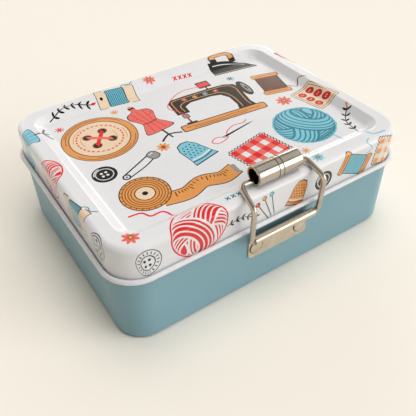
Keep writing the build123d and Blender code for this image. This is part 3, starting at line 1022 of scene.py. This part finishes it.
def make_lid(material):
    """The lid: printed sheet outside, plain white inside, folded hem at its edge."""
    flat, triangles, inks = printed_sheet()
    places, normals = form_sheet(flat)
    loop = rim_loop(flat)
    all_places, all_normals, faces = [places], [normals], [tuple(t) for t in triangles]
    count, first, previous = len(loop), len(places), list(loop)
    for places, normals in inner_rings(flat[loop]):
        current = list(range(first, first + count))
        for k in range(count):
            after = (k + 1) % count
            faces.append((previous[k], current[k], current[after], previous[after]))
        all_places.append(places)
        all_normals.append(-normals)
        previous, first = current, first + count
    all_places.append(places.mean(axis=0)[None])
    all_normals.append(np.array([[0, 0, -1.0]]))
    faces += [(previous[k], first, previous[(k + 1) % count]) for k in range(count)]

    mesh = bpy.data.meshes.new("lid_printed")
    mesh.from_pydata((np.vstack(all_places) * MM).tolist(), [], faces)
    mesh.polygons.foreach_set("use_smooth", [True] * len(mesh.polygons))
    corners = np.tile(np.array(WHITE, np.float32), (len(mesh.loops), 1))
    corners[: 3 * len(triangles)] = np.repeat(inks, 3, axis=0)
    ink = mesh.attributes.new("ink", "FLOAT_COLOR", "CORNER")
    ink.data.foreach_set("color", corners.ravel())
    mesh.normals_split_custom_set_from_vertices(np.vstack(all_normals).tolist())
    mesh.materials.append(material)
    lid = bpy.data.objects.new("lid_printed", mesh)
    bpy.context.scene.collection.objects.link(lid)
    return lid


lid = make_lid(printed_enamel())
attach(lid, "lid")
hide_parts("lid_shell")

# ---------------------------------------------------------------- base and metal parts

enamel = blue_enamel()
bright = nickel("bright_nickel", BRIGHT)
# The hinges and the latch plate get painted shade round their rivet heads
hinge = nickel("hinge_nickel", SATIN, hinge_painted_shade)
plate = nickel("latch_plate_nickel", SATIN, latch_painted_shade)


def finish_of(name):
    """The finish of a node that shows as the solid has it."""
    if name == "base_shell":
        return enamel
    if name in ("latch_bail", "latch_roller") or name.endswith("_pin"):
        return bright
    return plate if name.startswith("latch_") else hinge


for name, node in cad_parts.items():
    if name != "lid_shell":
        node.data.materials.clear()
        node.data.materials.append(finish_of(name))

# ---------------------------------------------------------------- floor, light and camera

FLOOR_COLOUR = linear("f8f3e9")
FLOOR_REACH = 6.0  # metres
SKY_COLOUR = linear("fcf5e7")  # as the lit floor looks far off, so that no horizon shows
SKY_TOP = 0.3  # sine of the height at which the sweep starts to darken
CEILING = 0.66  # and at which it has its ceiling's strength
CEILING_STRENGTH = 0.34
FILL = 0.04  # strength of the even light from all round


def make_floor():
    """A matt floor that reaches past what the camera sees."""
    mesh = bpy.data.meshes.new("floor")
    r = FLOOR_REACH
    mesh.from_pydata([(-r, -r, 0), (r, -r, 0), (r, r, 0), (-r, r, 0)], [], [(0, 1, 2, 3)])
    floor = bpy.data.objects.new("floor", mesh)
    bpy.context.scene.collection.objects.link(floor)
    mesh.materials.append(Finish("floor").wear(base_color=FLOOR_COLOUR, roughness=0.9))


def make_world():
    """A pale sweep round the horizon under a dark ceiling, as the camera and all gloss see them.

    Nothing of it lights the object, apart from a faint fill: that is left to the lamps.
    """
    world = bpy.data.worlds.new("studio")
    world.use_nodes = True
    bpy.context.scene.world = world
    tree = world.node_tree
    fill = tree.nodes["Background"]
    fill.inputs["Color"].default_value = (1, 1, 1, 1)
    fill.inputs["Strength"].default_value = FILL
    up = Signal(tree, tree.nodes.new("ShaderNodeTexCoord").outputs["Generated"]).part("Z")
    glow = up.ramp(SKY_TOP, CEILING, 1.0, CEILING_STRENGTH)
    sweep = up.node("ShaderNodeBackground", {}, {"Color": SKY_COLOUR, "Strength": glow})
    rays = tree.nodes.new("ShaderNodeLightPath")
    seen = [Signal(tree, rays.outputs[f"Is {kind} Ray"]) for kind in ("Camera", "Glossy", "Transmission")]
    shown = seen[0].math("MAXIMUM", seen[1]).math("MAXIMUM", seen[2])
    mixed = shown.node("ShaderNodeMixShader", {}, {0: shown, 2: sweep})
    tree.links.new(fill.outputs[0], mixed.socket.node.inputs[1])
    tree.links.new(mixed.socket, tree.nodes["World Output"].inputs["Surface"])


NEUTRAL = (1.0, 1.0, 1.0)
WARM = (1.0, 0.94, 0.86)
LAMPS = [  # name, heading and rise in degrees, width in the sky in degrees, strength, colour, seen in gloss
    ("front_low", 315, 15, 44, 1.20, NEUTRAL, True),
    ("front_high", 300, 48, 50, 0.89, NEUTRAL, False),
    ("overhead", 0, 88, 46, 1.38, WARM, False),
    ("right_high", 0, 48, 50, 0.25, NEUTRAL, True),
    ("back_high", 60, 48, 50, 0.50, NEUTRAL, False),
    ("back_window", 48, 17, 15, 0.25, NEUTRAL, True),
    ("back_low", 100, 15, 50, 0.38, NEUTRAL, True),
]


def add_lamp(name, heading, rise, spread, strength, colour, in_gloss):
    """A far soft lamp; those that would show as round spots in the metal are kept out of its gloss."""
    lamp = bpy.data.lights.new(name, "SUN")
    lamp.energy = strength
    lamp.color = colour
    lamp.angle = math.radians(spread)
    obj = bpy.data.objects.new(name, lamp)
    bpy.context.scene.collection.objects.link(obj)
    heading, rise = math.radians(heading), math.radians(rise)
    level = math.cos(rise)
    direction = Vector((level * math.cos(heading), level * math.sin(heading), math.sin(rise)))
    obj.matrix_world = direction.to_track_quat("Z", "Y").to_matrix().to_4x4()
    obj.visible_glossy = in_gloss


# The camera, as fitted to the tin's outlines: angles in radians, distances in metres
CAMERA_YAW = 0.57048
CAMERA_PITCH = 0.7282
CAMERA_ROLL = -0.02338
CAMERA_DISTANCE = 0.387968
CAMERA_TARGET = Vector((0.001449, -0.000293, -0.00199))
FOCAL_SHARE = 538.37 / 416  # focal length over the picture's width
SENSOR_WIDTH = 36.0


def add_camera():
    """The camera at the photograph's angle."""
    level = math.cos(CAMERA_PITCH)
    heading = (math.sin(CAMERA_YAW), math.cos(CAMERA_YAW))
    forward = Vector((heading[0] * level, heading[1] * level, -math.sin(CAMERA_PITCH)))
    right = Vector((heading[1], -heading[0], 0))
    up = right.cross(forward)
    roll = Matrix.Rotation(-CAMERA_ROLL, 3, forward)
    turned = Matrix((roll @ right, roll @ up, -forward)).transposed().to_4x4()
    lens = bpy.data.cameras.new("camera")
    lens.sensor_width = SENSOR_WIDTH
    lens.lens = SENSOR_WIDTH * FOCAL_SHARE
    lens.clip_start = 0.01
    lens.clip_end = 30.0
    camera = bpy.data.objects.new("camera", lens)
    bpy.context.scene.collection.objects.link(camera)
    camera.matrix_world = Matrix.Translation(CAMERA_TARGET - forward * CAMERA_DISTANCE) @ turned
    bpy.context.scene.camera = camera


make_floor()
make_world()
for facts in LAMPS:
    add_lamp(*facts)
add_camera()
bpy.context.scene.view_settings.view_transform = "Standard"
